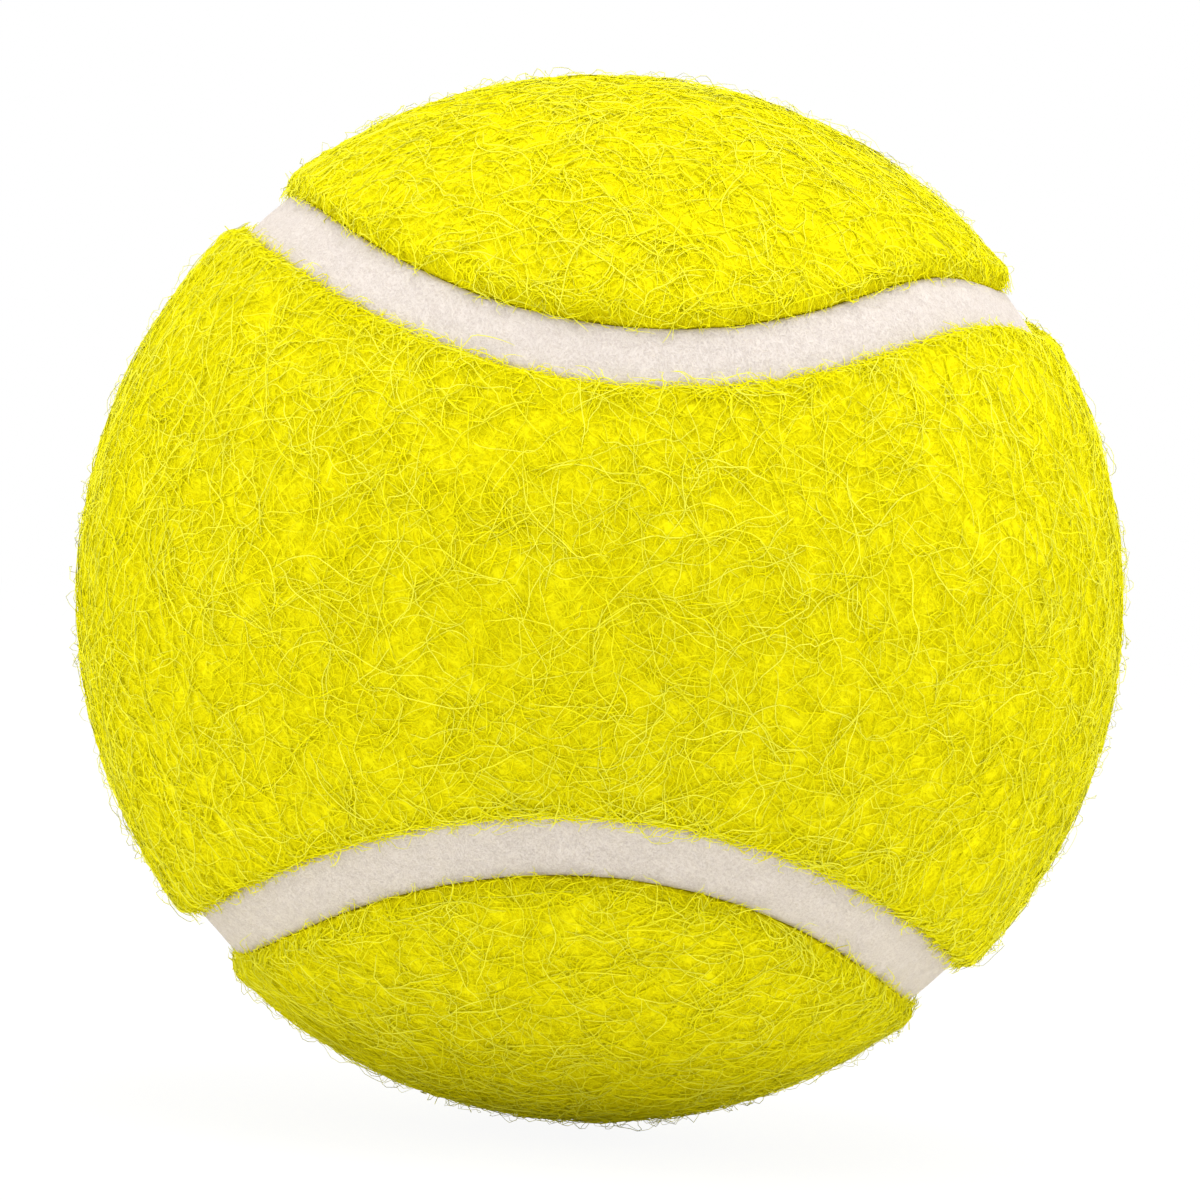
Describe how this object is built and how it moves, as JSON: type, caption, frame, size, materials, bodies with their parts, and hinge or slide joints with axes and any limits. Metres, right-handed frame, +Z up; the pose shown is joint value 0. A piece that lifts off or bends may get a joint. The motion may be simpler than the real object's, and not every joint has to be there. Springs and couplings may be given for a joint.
{
  "type": "tennis ball",
  "caption": "Yellow felt-covered tennis ball: hollow rubber core in two halves, two interlocking dog-bone cloth panels and a recessed pale rubber seam.",
  "frame": {"origin": "centre of the ball", "axes": "+Z up through the middle of panel B's upper lobe, -Y out through the neck of panel A, which faces the viewer, +X out through panel A's right lobe"},
  "size_m": [0.0668, 0.0668, 0.0668],
  "materials": {
    "felt": "needled wool and nylon nap, optic yellow",
    "base_cloth": "plain woven cotton base cloth",
    "core_rubber": "moulded, matte",
    "cement": "dried rubber solution",
    "seam_rubber": "vulcanised, matte, finely grained"
  },
  "bodies": {
    "root": {"core_half_top": "core_rubber", "core_half_bottom": "core_rubber", "core_joint_cement": "cement", "cover_cement": "cement", "panel_a_backing": "base_cloth", "panel_b_backing": "base_cloth", "panel_a_felt": "felt", "panel_b_felt": "felt", "seam_strip": "seam_rubber"}
  },
  "joints": []
}
